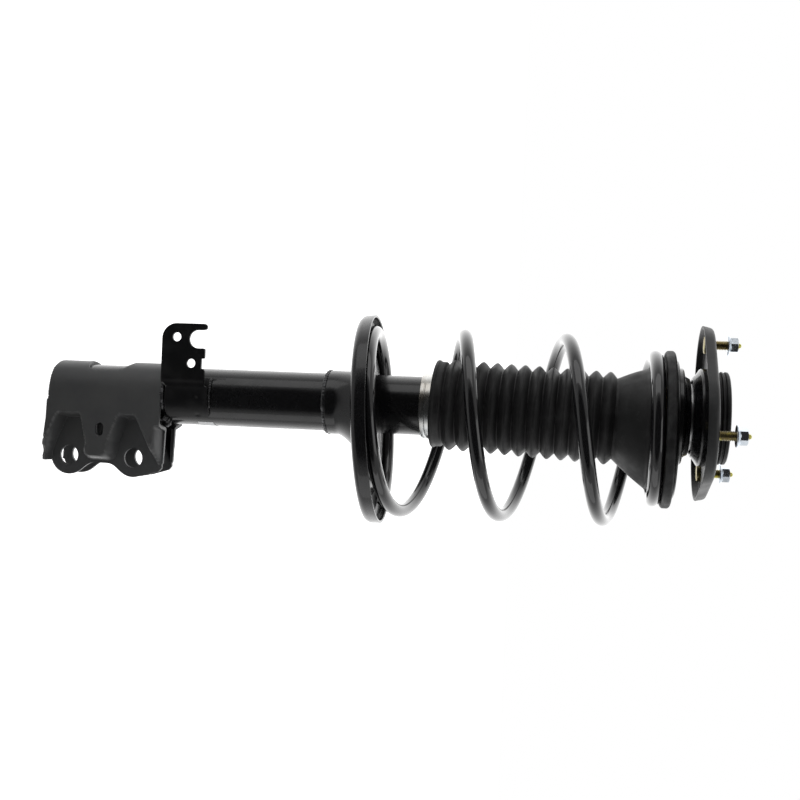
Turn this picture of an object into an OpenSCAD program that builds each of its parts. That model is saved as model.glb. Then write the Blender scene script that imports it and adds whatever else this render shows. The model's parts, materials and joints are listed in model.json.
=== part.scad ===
// Front coil-over strut assembly, standing along +Z.
// The origin is on the strut's axis, at the face of the top mount that meets the strut tower.
// +X is the way the knuckle bracket's ears reach, and their bolts run along Y.

/* [Top mount] */
// Diameter of the circle through the three studs
stud_pcd = 130; // [124:1:134]
// Angle of the first stud from +X
stud_angle = 41.6; // [38:0.2:46]
// Radius of the exposed stud thread
stud_r = 4; // [3.8:0.1:4.2]
// Height of the nuts' flange faces above the mounting face
nut_base_z = 13.1; // [11:0.1:15]
// Distance across the nuts' flats
nut_flats = 12; // [11:0.5:13]
// Corner radius of the rounded triangular plate
plate_corner_r = 47; // [44:1:50]
// Distance of the corner centres from the axis
plate_corner_c = 29; // [27:1:31]
// Depth of the plate's down-turned rim
plate_rim = 9; // [7:0.5:12]
// Radius of the ring on top of the plate
cap_r = 38.5; // [36:0.5:40]
// Height of the ring on top of the plate
cap_h = 12.7; // [12:0.1:13]

/* [Spring] */
// Diameter of the spring wire
wire_d = 11; // [10:0.1:11.4]
// Mean radius of the spring's lowest turn
spring_r = 77.2; // [75:0.1:78]
// Mean radius of the spring's top turn
spring_top_r = 59.6; // [58.5:0.1:60]
// Rise of the spring in one free turn
spring_pitch = 87; // [84:0.5:90]
// Sideways offset of the spring's axis at its foot
spring_foot_x = 14.4; // [13:0.1:15]
// Sideways offset of the spring's axis at its top
spring_top_x = 11.2; // [10.5:0.1:12]

/* [Damper] */
// Radius of the damper tube
tube_r = 25.5; // [25:0.1:26]
// Wall of the damper tube
tube_wall = 2.5; // [2:0.1:3]
// Lower end of the damper tube
tube_foot_z = -575; // [-580:1:-570]
// Upper end of the damper tube
tube_head_z = -243; // [-246:1:-240]
// Radius of the piston rod
rod_r = 11; // [10:0.1:11]

/* [Spring seat] */
// Radius of the dish's rim
dish_r = 90.9; // [89:0.1:92]
// Lean of the dish towards -X
dish_lean_x = 3.6; // [3:0.1:4]
// Lean of the dish towards +Y
dish_lean_y = 3.6; // [3:0.1:4]

/* [Knuckle bracket] */
// Radius of the two knuckle bolt holes
bolt_r = 8.8; // [8:0.1:9]
// Distance of the bolt holes from the strut's axis
bolt_x = 57.6; // [56:0.1:59]
// Height of the lower bolt hole
bolt_low_z = -563.5; // [-565:0.1:-562]
// Height of the upper bolt hole
bolt_high_z = -501.8; // [-503:0.1:-500]
// Distance over the outer faces of the two bolt pads
pad_width = 26.6; // [25:0.2:29]
// Sheet thickness of the bracket
sheet = 3.1; // [2.8:0.1:3.4]

/* [Hose bracket] */
// Radius of the two small holes
clip_r = 4; // [3.8:0.1:4.2]
// Radius of the open hose notch
notch_r = 8; // [7.5:0.1:8.2]

/* [Hidden] */
$fn = 96;
eps = 0.05;

// Sheet thickness of the mount plate
plate_t = 2.8;
// Hole in the middle of the mount plate
plate_hole_r = 30;
// Bore of the sleeve in the mount, and the rod's thread that turns in it
thread_r = 7;
sleeve_r = 14;
// Radius of the bearing's ball circle, and of its balls
ball_circle_r = 21;
ball_r = 3;
ball_z = -12.2;
ball_count = 16;
// Faces of the lower cup and the upper seat
cup_r = 40.8;
cup_mouth_z = -16.4;
seat_top_z = -18;
seat_hub_r = 40.5;
insulator_r = 65.9;
insulator_top_z = -30.8;
insulator_foot_z = -39;
// Fold count and shape of the bellows
boot_folds = 12;
boot_pitch = 11.95;
boot_first_z = -216;
boot_peak_r = 39.4;
boot_valley_r = 34;
boot_wall = 1.6;
boot_lean = 2.5;
boot_pivot_z = -171;
// Inside of the damper
cylinder_r = 15;
piston_z = -300;
// Middle of the dish at the foot of its rim
dish_x = 13.6;
dish_z = -292.5;
// Undersides of the dish's raised middle and of its channel, and its sheet thickness
dish_middle = 5.4;
dish_channel = -0.9;
dish_t = 2.6;
// Knuckle bracket: outer and inner radius of its wrap
wrap_in_r = tube_r + eps;
wrap_r = wrap_in_r + sheet;
bracket_foot_z = -577;
bracket_head_z = -472;
lobe_r = 17.2;
pocket_top_x = 22;
// Hose bracket
clip_t = 2.6;
clip_face_y = -25.6;

function stud_spot(i, r = stud_pcd / 2) = [r * cos(stud_angle + 120 * i), r * sin(stud_angle + 120 * i)];
function smooth(t) = let(u = min(max(t, 0), 1)) u * u * (3 - 2 * u);

// ---- shared shapes ----

// A ring or tube between two heights
module ring(outer, inner, z0, z1) {
    translate([0, 0, z0])
        difference() {
            cylinder(r = outer, h = z1 - z0);
            translate([0, 0, -1])
                cylinder(r = inner, h = z1 - z0 + 2);
        }
}

module hex_prism(flats, z0, z1) {
    translate([0, 0, z0])
        cylinder(r = flats / sqrt(3), h = z1 - z0, $fn = 6);
}

// A rounded triangle that tapers from one corner radius to another
module rounded_triangle(r0, r1, z0, z1) {
    hull()
        for (i = [0:2])
            translate([stud_spot(i, plate_corner_c).x, stud_spot(i, plate_corner_c).y, z0])
                cylinder(r1 = r0, r2 = r1, h = z1 - z0, $fn = 64);
}

// Places a child in the dish's own leaning frame
module on_dish() {
    translate([dish_x, 0, dish_z])
        rotate([-dish_lean_y, -dish_lean_x, 0])
            children();
}

// ---- top mount ----

module mount_plate() {
    r = plate_corner_r;
    color("dimgray")
        difference() {
            union() {
                rounded_triangle(r + 2.4, r + 1.2, -plate_rim, -1.6);
                rounded_triangle(r + 1.2, r - 1.2, -1.6, 0);
            }
            rounded_triangle(r - 0.2, r - 2, -plate_rim - 1, -plate_t);
            translate([0, 0, -plate_t - 1])
                cylinder(r = plate_hole_r, h = plate_t + 2);
            for (i = [0:2])
                translate([stud_spot(i).x, stud_spot(i).y, -plate_t - 1])
                    cylinder(r = stud_r + 0.3, h = plate_t + 2);
        }
}

module mount_studs() {
    head_h = 3.2;
    neck_h = 0.3;
    thread_top = 22.4;
    color("goldenrod")
        for (i = [0:2])
            translate([stud_spot(i).x, stud_spot(i).y, 0]) {
                translate([0, 0, -plate_t - head_h])
                    cylinder(r = 7.5, h = head_h);
                translate([0, 0, -plate_t - eps])
                    cylinder(r = stud_r + 0.28, h = plate_t + neck_h);
                cylinder(r = stud_r, h = nut_base_z - 0.2);
                translate([0, 0, nut_base_z - 0.5])
                    cylinder(r = stud_r - 0.05, h = thread_top - nut_base_z + 0.5);
                translate([0, 0, thread_top])
                    cylinder(r1 = 2.3, r2 = 1.7, h = 1.6);
                translate([0, 0, thread_top + 1.6])
                    cylinder(r1 = 1.7, r2 = 0.5, h = 1);
            }
}

module stud_nuts() {
    nut_h = 8.8;
    flange_r = 8.8;
    color("lightsteelblue")
        for (i = [0:2])
            translate([stud_spot(i).x, stud_spot(i).y, nut_base_z])
                rotate([0, 0, 14 + 35 * i])
                    difference() {
                        union() {
                            cylinder(r = flange_r, h = 1.2);
                            translate([0, 0, 1.2])
                                cylinder(r1 = flange_r, r2 = 6.2, h = 1.4);
                            intersection() {
                                hex_prism(nut_flats, 1, nut_h);
                                cylinder(r1 = 6.9 + nut_h, r2 = 6.2, h = nut_h);
                            }
                        }
                        translate([0, 0, -1])
                            cylinder(r = stud_r, h = nut_h + 2);
                    }
}

module mount_cap_ring() {
    color("black")
        rotate_extrude()
            polygon([[31, 0], [cap_r, 0], [cap_r, 4.2], [cap_r - 1, 4.8], [cap_r - 1, 5.4], [cap_r, 6],
                [cap_r, 7.6], [cap_r - 1, 8.2], [cap_r - 1, 8.8], [cap_r, 9.4], [cap_r - 0.3, cap_h - 1],
                [cap_r - 1.4, cap_h], [33, cap_h], [31, cap_h - 2]]);
}

module mount_rubber() {
    color("black")
        rotate_extrude()
            polygon([[sleeve_r, -plate_t], [plate_hole_r - 0.1, -plate_t], [plate_hole_r - 0.1, 5],
                [27, 7], [19, 4], [sleeve_r, 3]]);
}

module center_sleeve() {
    color("silver")
        ring(sleeve_r, thread_r + 0.05, -5.8, 3);
}

// Flared steel cup that holds the bearing and closes the plate from below
module lower_cup() {
    color("dimgray")
        rotate_extrude()
            polygon([[sleeve_r + 0.1, -plate_t], [sleeve_r + 0.1, -5.8], [38, -5.8], [38.4, -9.6], [35, -12],
                [32, -14.6], [30.6, cup_mouth_z], [33, cup_mouth_z], [34.6, -14.4], [37.4, -12.2],
                [40, -10.6], [cup_r, -9], [cup_r, -plate_t]]);
}

module bearing_upper_race() {
    color("silver")
        difference() {
            ring(28, 13, -10.6, -5.8);
            translate([0, 0, ball_z])
                rotate_extrude()
                    translate([ball_circle_r, 0])
                        circle(r = ball_r + 0.3, $fn = 32);
        }
}

// ---- rod, upper seat and spring ----

module piston_rod() {
    shoulder_z = -20.5;
    color("silver")
        union() {
            translate([0, 0, piston_z])
                cylinder(r = rod_r, h = shoulder_z - piston_z);
            translate([0, 0, shoulder_z])
                cylinder(r = thread_r, h = 12.2 - shoulder_z);
            translate([0, 0, piston_z - 26])
                cylinder(r = 6, h = 27);
        }
}

module rod_nut() {
    color("silver")
        difference() {
            hex_prism(21, 5.4, 11.4);
            translate([0, 0, 5])
                cylinder(r = thread_r, h = 7);
        }
}

module rod_washer() {
    color("silver")
        ring(13, thread_r, 3.3, 5.4);
}

module bearing_lower_race() {
    color("silver")
        difference() {
            ring(28, 13, seat_top_z, -13.6);
            translate([0, 0, ball_z])
                rotate_extrude()
                    translate([ball_circle_r, 0])
                        circle(r = ball_r + 0.02, $fn = 32);
        }
}

module bearing_balls() {
    color("silver")
        for (i = [0:ball_count - 1])
            rotate([0, 0, 360 * i / ball_count])
                translate([ball_circle_r, 0, ball_z])
                    sphere(r = ball_r, $fn = 32);
}

// Stamped seat: an offset flange over the insulator, and a hub clamped on the rod's shoulder
module upper_spring_seat() {
    flange_foot = insulator_top_z;
    flange_top = -28.4;
    color("dimgray")
        difference() {
            union() {
                translate([spring_top_x, 0, flange_foot])
                    cylinder(r = 58, h = flange_top - flange_foot);
                rotate_extrude()
                    polygon([[0, flange_foot], [seat_hub_r, flange_foot], [seat_hub_r, -24.6],
                        [39.6, -23.6], [35.4, -22.8], [33.2, -21], [32.2, -18.8], [31.2, seat_top_z],
                        [0, seat_top_z]]);
            }
            rotate_extrude()
                polygon([[0, flange_foot - 1], [38, flange_foot - 1], [38, -26.4], [31, -24],
                    [29.6, -20.5], [0, -20.5]]);
            translate([0, 0, -22])
                cylinder(r = thread_r, h = 5);
        }
}

module upper_insulator() {
    color("black")
        translate([spring_top_x, 0, 0])
            rotate_extrude()
                polygon([[51, insulator_foot_z], [64.4, insulator_foot_z], [insulator_r, -37.6],
                    [insulator_r, -32.4], [64.6, insulator_top_z - eps], [51, insulator_top_z - eps]]);
}

// Height of the wire's centre: it lies in the dish, climbs freely, and ends flat under the top seat
function seat_plane(a) = -282.6 + spring_r * (tan(dish_lean_x) * cos(a) - tan(dish_lean_y) * sin(a));
function free_climb(a) = -341.3 + spring_pitch * a / 360 - 2.6 * cos(a);
function soft_max(p, q) = (p + q) / 2 + sqrt(pow((p - q) / 2, 2) + 10);
function soft_min(p, q) = (p + q) / 2 - sqrt(pow((p - q) / 2, 2) + 30);
function wire_z(a) = soft_min(soft_max(seat_plane(a), free_climb(a)), -44.6);
function wire_r(a) = spring_r - 1.6 * smooth((a - 180) / 900)
    - (spring_r - 1.6 - spring_top_r) * smooth((a - 1075) / 215);
function wire_x(a) = spring_foot_x + (spring_top_x - spring_foot_x) * smooth((a - 1000) / 260);
function wire_point(a) = [wire_x(a) + wire_r(a) * cos(a), wire_r(a) * sin(a), wire_z(a)];
function unit(v) = v / norm(v);

module coil_spring() {
    first = 20;
    last = 1560;
    step = 11;
    sides = 12;
    rings = ceil((last - first) / step);
    function angle(i) = first + (last - first) * i / rings;
    points = [for (i = [0:rings])
        let(a = angle(i),
            along = unit(wire_point(a + 1) - wire_point(a - 1)),
            out = unit(cross(along, [0, 0, 1])),
            up = cross(out, along))
        for (j = [0:sides - 1])
            wire_point(a) + wire_d / 2 * (cos(360 * j / sides) * out + sin(360 * j / sides) * up)];
    walls = [for (i = [0:rings - 1])
        for (j = [0:sides - 1])
            let(k = (j + 1) % sides)
            [i * sides + j, (i + 1) * sides + j, (i + 1) * sides + k, i * sides + k]];
    foot = [[for (j = [0:sides - 1]) j]];
    head = [[for (j = [0:sides - 1]) rings * sides + sides - 1 - j]];
    color("black")
        polyhedron(points, concat(walls, foot, head), convexity = 10);
}

module dust_boot() {
    top_z = -44;
    cone_foot = -77;
    lip_z = -232;
    fold_low = boot_first_z - boot_pitch / 2;
    outline = concat(
        [[36.4, lip_z], [37.9, lip_z + 1], [37.9, lip_z + 2.6], [36.8, lip_z + 3.4], [36.8, fold_low - 1]],
        [for (i = [0:boot_folds - 1])
            for (p = [[boot_valley_r, 0], [boot_peak_r, 0.42], [boot_peak_r, 0.58]])
                [p.x, fold_low + (i + p.y) * boot_pitch]],
        [[boot_valley_r, cone_foot]]);
    inline = [for (i = [len(outline) - 1:-1:0]) [outline[i].x - boot_wall - 0.4, outline[i].y]];
    color("black")
        union() {
            translate([0, 0, boot_pivot_z])
                rotate([0, boot_lean, 0])
                    translate([0, 0, -boot_pivot_z])
                        rotate_extrude()
                            polygon(concat(outline, inline));
            difference() {
                boot_cone(boot_valley_r, 50.4, cone_foot, top_z);
                boot_cone(boot_valley_r - 2, 48.2, cone_foot - 0.1, top_z + 0.1);
            }
        }
}

// The boot's offset cone as a solid
module boot_cone(r0, r1, z0, z1) {
    shoulder_z = -52;
    hull() {
        translate([4.1, 0, z0])
            cylinder(r = r0, h = 0.1, $fn = 48);
        translate([spring_top_x, 0, shoulder_z])
            cylinder(r = r1, h = 0.1, $fn = 48);
    }
    translate([spring_top_x, 0, shoulder_z])
        cylinder(r = r1, h = z1 - shoulder_z);
}

module bump_stop() {
    color("khaki")
        rotate_extrude()
            polygon([[rod_r + 0.1, -106], [17, -106], [19, -102], [20, -97], [17, -93], [17, -91],
                [22, -85], [22, -79], [18, -75], [18, -73], [24, -67], [24, -22], [rod_r + 0.1, -22]]);
}

module rebound_stop() {
    color("silver")
        ring(14.2, rod_r, -270, -262.6);
}

module piston() {
    color("silver")
        difference() {
            ring(cylinder_r - 0.06, 6, piston_z - 18, piston_z);
            ring(cylinder_r + 1, cylinder_r - 1, piston_z - 15, piston_z - 5);
            for (i = [0:5])
                rotate([0, 0, 60 * i])
                    translate([10, 0, piston_z - 19])
                        cylinder(r = 1.6, h = 20, $fn = 24);
        }
}

module piston_band() {
    color("darkgreen")
        ring(cylinder_r - 0.05, cylinder_r - 1, piston_z - 15, piston_z - 5);
}

module piston_nut() {
    color("silver")
        difference() {
            hex_prism(18, piston_z - 25, piston_z - 18);
            translate([0, 0, piston_z - 26])
                cylinder(r = 6, h = 9);
        }
}

// ---- damper tube ----

module strut_tube() {
    color("black")
        ring(tube_r, tube_r - tube_wall, tube_foot_z, tube_head_z + 12);
}

module base_cap() {
    color("black")
        rotate_extrude()
            polygon([[0, tube_foot_z], [20, tube_foot_z], [tube_r - tube_wall, tube_foot_z + 3],
                [tube_r - tube_wall, tube_foot_z + 9], [tube_r - tube_wall - 3, tube_foot_z + 9],
                [18, tube_foot_z + 4], [0, tube_foot_z + 4]]);
}

module tube_cap() {
    skirt_r = 28.4;
    color("silver")
        rotate_extrude()
            polygon([[tube_r, tube_head_z + 1], [skirt_r, tube_head_z + 1], [skirt_r, -230], [26.6, -227.6],
                [rod_r + 1, -227.6], [rod_r + 1, tube_head_z + 12.2], [tube_r, tube_head_z + 12.2]]);
}

module rod_guide() {
    color("silver")
        difference() {
            ring(tube_r - tube_wall - eps, rod_r + 0.05, -262, -239);
            ring(tube_r, cylinder_r - eps, -263, -252);
        }
}

module rod_seal() {
    color("black")
        ring(tube_r - tube_wall - eps, rod_r + 0.06, -239, tube_head_z + 12);
}

module pressure_cylinder() {
    color("silver")
        ring(cylinder_r + 1.5, cylinder_r, -562, -252);
}

module base_valve() {
    color("silver")
        rotate_extrude()
            polygon([[0, -571], [14, -571], [18, -568], [18, -562], [cylinder_r, -562],
                [cylinder_r, -552], [4, -552], [4, -546], [0, -546]]);
}

// Outline of one bolt pad, as [x, z] points round its fold line, plus a lobe round its hole
module pad_outline(hole_z, corners, grow = 0) {
    translate([bolt_x, hole_z])
        circle(r = lobe_r + grow);
    polygon(corners);
}

low_pad = [[pocket_top_x, -566.8], [pocket_top_x, -550.4], [46, -545], [bolt_x, -546.2], [bolt_x, -580.6],
    [46, -578.4]];
high_pad = [[pocket_top_x, -508.4], [pocket_top_x, -498], [66, -475], [69, -476], [73.2, -493], [bolt_x, -518.9],
    [46, -517]];
// The pockets round the pads are a sheet wider than the pads, and run off the ears' free edges
low_pocket = [[pocket_top_x - sheet, -569], [pocket_top_x - sheet, -548], [46, -542], [61, -542], [80, -542],
    [80, -580.6], [bolt_x, -580.6], [46, -579.4]];
high_pocket = [[pocket_top_x - sheet, -510.6], [pocket_top_x - sheet, -495.6], [66, -475], [80, -475],
    [80, -522], [61, -522], [46, -521]];

// Turns a flat [x, z] outline into a sheet between two distances from the XZ plane, on the -Y side
module side_sheet(near, far) {
    translate([0, -near, 0])
        rotate([90, 0, 0])
            linear_extrude(far - near)
                children();
}

// The raised ear of one side, with its two pads pressed in towards the knuckle
module ear() {
    pad_out = pad_width / 2;
    pad_in = pad_out - sheet;
    raised = [[0, bracket_foot_z], [5, bracket_foot_z], [8, -579.5], [24, -579.8], [58, -583.6],
        [62.6, -583.6], [62.6, -560], [60.4, -548], [60.4, -516], [60.4, -480], [61.6, bracket_head_z],
        [0, bracket_head_z]];
    difference() {
        union() {
            side_sheet(wrap_in_r, wrap_r)
                polygon(raised);
            side_sheet(pad_in, wrap_r)
                intersection() {
                    polygon(raised);
                    union() {
                        polygon(low_pocket);
                        polygon(high_pocket);
                        translate([58, -545])
                            square([8, 30]);
                        translate([50, -583.6])
                            square([12.6, 6]);
                        translate([pocket_top_x, -583.6])
                            square([40.6, 5]);
                        // wall that closes the head end of the ear
                        translate([28, bracket_head_z - sheet])
                            square([34, sheet]);
                    }
                }
            side_sheet(pad_in, pad_out)
                union() {
                    pad_outline(bolt_low_z, low_pad);
                    pad_outline(bolt_high_z, high_pad);
                    translate([56, -550])
                        square([7.4, 36]);
                }
        }
        // hollows of the pockets on the outside
        side_sheet(pad_out, wrap_r + 1) {
            pad_outline(bolt_low_z, low_pad, 0.2);
            pad_outline(bolt_high_z, high_pad, 0.2);
            translate([60.5, -562])
                square([14, 86]);
        }
        // slot in the raised web
        side_sheet(pad_in - 1, wrap_r + 1) {
            translate([30.2, -528.1])
                circle(r = 3.8, $fn = 48);
            translate([34.6, -528.1])
                circle(r = 3.8, $fn = 48);
            translate([30.2, -531.9])
                square([4.4, 7.6]);
        }
        for (z = [bolt_low_z, bolt_high_z])
            translate([bolt_x, 0, z])
                rotate([90, 0, 0])
                    cylinder(r = bolt_r, h = wrap_r + 2);
    }
}

module knuckle_bracket() {
    window = [[-549.4, -34], [-548.6, -27], [-545, -21.6], [-541, -20.3], [-517, -20.3], [-512, -22],
        [-506, -27], [-503, -34]];
    color("dimgray")
        union() {
            difference() {
                ring(wrap_r, wrap_in_r, bracket_foot_z, bracket_head_z);
                translate([0, -wrap_r - 1, bracket_foot_z - 1])
                    cube([wrap_r + 1, 2 * wrap_r + 2, bracket_head_z - bracket_foot_z + 2]);
                translate([0, wrap_r + 1, 0])
                    rotate([90, 0, 0])
                        linear_extrude(2 * wrap_r + 2)
                            polygon([for (p = window) [p.y, p.x]]);
            }
            difference() {
                union() {
                    ear();
                    mirror([0, 1, 0])
                        ear();
                }
                translate([0, 0, bracket_foot_z - 10])
                    cylinder(r = wrap_in_r, h = bracket_head_z - bracket_foot_z + 20);
            }
        }
}

module hose_bracket() {
    left = bracket_head_z + 0.1;
    right = -432.8;
    top = -64;
    corner_r = 13.5;
    arm_r = 3;
    notch = [-50.4, -439.4];
    tab_in = tube_r + eps;
    tab_out = tab_in + clip_t;
    color("dimgray")
        union() {
            difference() {
                side_sheet(-clip_face_y - clip_t, -clip_face_y)
                    difference() {
                        union() {
                            translate([top + corner_r, left + corner_r])
                                circle(r = corner_r);
                            translate([top + arm_r, right - arm_r + 1.5])
                                circle(r = arm_r);
                            translate([top, left + corner_r])
                                square([9, right - arm_r + 1.5 - left - corner_r]);
                            translate([top + corner_r, left])
                                square([-12 - top - corner_r, right - left]);
                        }
                        translate(notch)
                            circle(r = notch_r);
                        translate([notch.x - notch_r, notch.y])
                            square([2 * notch_r, 20]);
                        translate([-33.4, right - 3])
                            square([9, 5]);
                        translate([-51.9, -459])
                            circle(r = clip_r);
                        translate([-29.1, -445.2])
                            circle(r = clip_r);
                    }
                translate([0, 0, left - 1])
                    cylinder(r = tab_in, h = right - left + 2);
            }
            // the tab that is welded round the front of the tube
            intersection() {
                ring(tab_out, tab_in, -468.6, -428.6);
                translate([-13, -40, -470])
                    cube([31, 40, 50]);
            }
        }
}

// Leaning dish with a raised middle, a channel for the spring's foot and a rolled rim
module lower_spring_seat() {
    channel_top = dish_channel + dish_t;
    middle_top = dish_middle + dish_t;
    color("black")
        difference() {
            on_dish()
                rotate_extrude()
                    polygon([[0, dish_middle], [58, dish_middle], [62, dish_channel], [84, dish_channel],
                        [88.4, 0.6], [90.4, 3.4], [dish_r, 6.4], [dish_r, 12.6], [88.6, 12.6], [88.4, 6.2],
                        [86.6, 3.2], [83, channel_top], [63.4, channel_top], [59.4, middle_top],
                        [0, middle_top]]);
            translate([0, 0, -330])
                cylinder(r = tube_r + eps, h = 80);
        }
}

// Collar that stands true on the tube and flares out under the leaning dish
module seat_collar() {
    collar_foot_z = -325;
    flare_z = -316;
    flare_h = 33;
    flare_r = 46;
    collar_r = tube_r + eps + 2.4;
    color("black")
        difference() {
            union() {
                translate([0, 0, collar_foot_z])
                    cylinder(r = collar_r, h = flare_z - collar_foot_z + 2);
                translate([0, 0, flare_z])
                    cylinder(r1 = collar_r, r2 = flare_r, h = flare_h);
            }
            translate([0, 0, collar_foot_z - 5])
                cylinder(r = tube_r + eps, h = 60);
            translate([0, 0, flare_z + 2])
                cylinder(r1 = tube_r + eps, r2 = flare_r - 2, h = flare_h);
            // trims the flare level with the dish's underside
            on_dish()
                translate([0, 0, dish_middle - eps])
                    cylinder(r = 80, h = 40);
        }
}

module lower_insulator() {
    color("black")
        on_dish()
            ring(82.8, 66.5, dish_channel + dish_t + eps, 4);
}

mount_plate();
mount_studs();
stud_nuts();
mount_cap_ring();
mount_rubber();
center_sleeve();
lower_cup();
bearing_upper_race();
piston_rod();
rod_nut();
rod_washer();
bearing_lower_race();
bearing_balls();
upper_spring_seat();
upper_insulator();
coil_spring();
dust_boot();
bump_stop();
rebound_stop();
piston();
piston_band();
piston_nut();
strut_tube();
base_cap();
tube_cap();
rod_guide();
rod_seal();
pressure_cylinder();
base_valve();
knuckle_bracket();
hose_bracket();
lower_spring_seat();
seat_collar();
lower_insulator();
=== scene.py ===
"""Finished look of a front coil-over strut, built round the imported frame.

Lengths are written in millimetres in the shape functions and turned into metres when a mesh is made.
+Z runs up the strut's axis, z = 0 is the top mount's face, and +X is the way the knuckle ears reach.
"""

import json
import math

import bpy
import numpy as np
from mathutils import Matrix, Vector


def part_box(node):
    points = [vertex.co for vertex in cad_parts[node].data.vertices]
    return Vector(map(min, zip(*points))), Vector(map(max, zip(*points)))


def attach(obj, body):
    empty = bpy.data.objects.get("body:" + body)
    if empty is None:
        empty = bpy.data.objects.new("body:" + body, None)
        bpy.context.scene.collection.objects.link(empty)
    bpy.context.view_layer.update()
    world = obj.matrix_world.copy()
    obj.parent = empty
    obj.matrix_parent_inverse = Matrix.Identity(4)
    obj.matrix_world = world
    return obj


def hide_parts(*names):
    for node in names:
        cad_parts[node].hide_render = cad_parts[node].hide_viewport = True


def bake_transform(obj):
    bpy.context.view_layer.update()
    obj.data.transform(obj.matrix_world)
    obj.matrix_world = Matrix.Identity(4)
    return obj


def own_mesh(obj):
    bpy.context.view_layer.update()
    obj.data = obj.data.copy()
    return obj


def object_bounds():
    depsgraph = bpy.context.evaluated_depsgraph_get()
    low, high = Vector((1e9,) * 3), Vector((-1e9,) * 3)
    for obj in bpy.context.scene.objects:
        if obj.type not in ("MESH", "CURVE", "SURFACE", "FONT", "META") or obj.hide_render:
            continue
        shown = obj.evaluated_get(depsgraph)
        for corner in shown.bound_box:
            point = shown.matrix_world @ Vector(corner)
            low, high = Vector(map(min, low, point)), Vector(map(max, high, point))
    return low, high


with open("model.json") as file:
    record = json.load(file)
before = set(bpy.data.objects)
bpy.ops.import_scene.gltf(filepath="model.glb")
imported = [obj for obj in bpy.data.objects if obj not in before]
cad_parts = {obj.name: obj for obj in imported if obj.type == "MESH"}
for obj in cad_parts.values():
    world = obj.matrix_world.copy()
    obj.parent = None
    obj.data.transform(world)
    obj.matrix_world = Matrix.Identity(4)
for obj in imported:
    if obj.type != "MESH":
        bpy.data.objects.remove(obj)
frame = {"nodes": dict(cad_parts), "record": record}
CAD_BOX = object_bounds()

bl_info = {
    "name": "Coil-over Strut",
    "version": (1, 0, 0),
    "blender": (4, 5, 0),
    "location": "3D View > Sidebar > Strut",
    "description": "Builds the finished pieces of a coil-over strut round its fixed frame",
    "category": "Object",
}

MM = 0.001
TURN = 2 * math.pi
MOUNTS = {m["name"]: m for m in frame["record"]["mounts"]}


def node_span(node, axis):
    """Lowest and highest value of a CAD node along one axis, in millimetres."""
    low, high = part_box(node)
    return low[axis] / MM, high[axis] / MM


TUBE_R = node_span("strut_tube", 0)[1]
STUD_PCD = MOUNTS["top_studs"]["dims"]["pcd_mm"]
STUD_R = MOUNTS["top_studs"]["dims"]["stud_r_mm"]
BOLT_R = MOUNTS["knuckle_bolt_lower"]["dims"]["r_mm"]
BOLT_X = MOUNTS["knuckle_bolt_lower"]["pos_m"][0] / MM
BOLT_Z = [MOUNTS[name]["pos_m"][2] / MM for name in ("knuckle_bolt_lower", "knuckle_bolt_upper")]
PAD_OUT = MOUNTS["knuckle_bolt_lower"]["dims"]["length_mm"] / 2


# ---- sizes and colours a user may change ----

class StrutSizes(bpy.types.PropertyGroup):
    wire_d: bpy.props.FloatProperty(
        name="Wire diameter", description="Thickness of the spring wire, in millimetres",
        default=11.8, min=9.0, max=12.0)
    boot_folds: bpy.props.IntProperty(
        name="Boot folds", description="Number of folds in the bellows", default=12, min=6, max=16)
    fold_depth: bpy.props.FloatProperty(
        name="Fold depth", description="Depth of a fold of the bellows, in millimetres",
        default=5.4, min=2.0, max=7.0)
    thread_pitch: bpy.props.FloatProperty(
        name="Thread pitch", description="Rise of the stud thread in one turn, in millimetres",
        default=1.25, min=0.8, max=1.5)
    nut_flats: bpy.props.FloatProperty(
        name="Nut flats", description="Distance across the stud nuts' flats, in millimetres",
        default=12.0, min=11.0, max=13.0)
    sheet: bpy.props.FloatProperty(
        name="Bracket sheet", description="Sheet thickness of the knuckle bracket, in millimetres",
        default=3.1, min=2.5, max=3.6)
    press_slope: bpy.props.FloatProperty(
        name="Pressing slope", description="Width of the sloping wall round a pressed pad, in millimetres",
        default=5.0, min=2.0, max=8.0)


class StrutFinishes(bpy.types.PropertyGroup):
    paint: bpy.props.FloatVectorProperty(
        name="Paint", description="Colour of the gloss black paint", subtype="COLOR",
        default=(0.007, 0.007, 0.008), min=0.0, max=1.0)
    bracket: bpy.props.FloatVectorProperty(
        name="Bracket paint", description="Colour of the knuckle bracket's paint", subtype="COLOR",
        default=(0.078, 0.08, 0.082), min=0.0, max=1.0)
    rubber: bpy.props.FloatVectorProperty(
        name="Rubber", description="Colour of the moulded rubber", subtype="COLOR",
        default=(0.012, 0.012, 0.0125), min=0.0, max=1.0)
    zinc: bpy.props.FloatVectorProperty(
        name="Zinc", description="Colour of the bright zinc plating", subtype="COLOR",
        default=(0.78, 0.84, 0.9), min=0.0, max=1.0)
    yellow_zinc: bpy.props.FloatVectorProperty(
        name="Yellow zinc", description="Colour of the studs' yellow plating", subtype="COLOR",
        default=(0.5, 0.43, 0.24), min=0.0, max=1.0)


def sizes():
    return bpy.context.scene.strut_sizes


def finishes():
    return bpy.context.scene.strut_finishes


# ---- mesh making ----

def ease(t):
    """Smooth step: 0 below 0, 1 above 1, and 3t^2 - 2t^3 between."""
    t = np.clip(t, 0, 1)
    return t * t * (3 - 2 * t)


def grid_quads(rows, cols, ring_rows=False, ring_cols=False):
    """Quads of a grid of points numbered row by row; a ring joins its last row or column to its first."""
    i = np.arange(rows if ring_rows else rows - 1)[:, None]
    j = np.arange(cols if ring_cols else cols - 1)[None, :]
    below, right = (i + 1) % rows, (j + 1) % cols
    quads = np.stack([i * cols + j, i * cols + right, below * cols + right, below * cols + j], -1)
    return quads.reshape(-1, 4)


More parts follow.
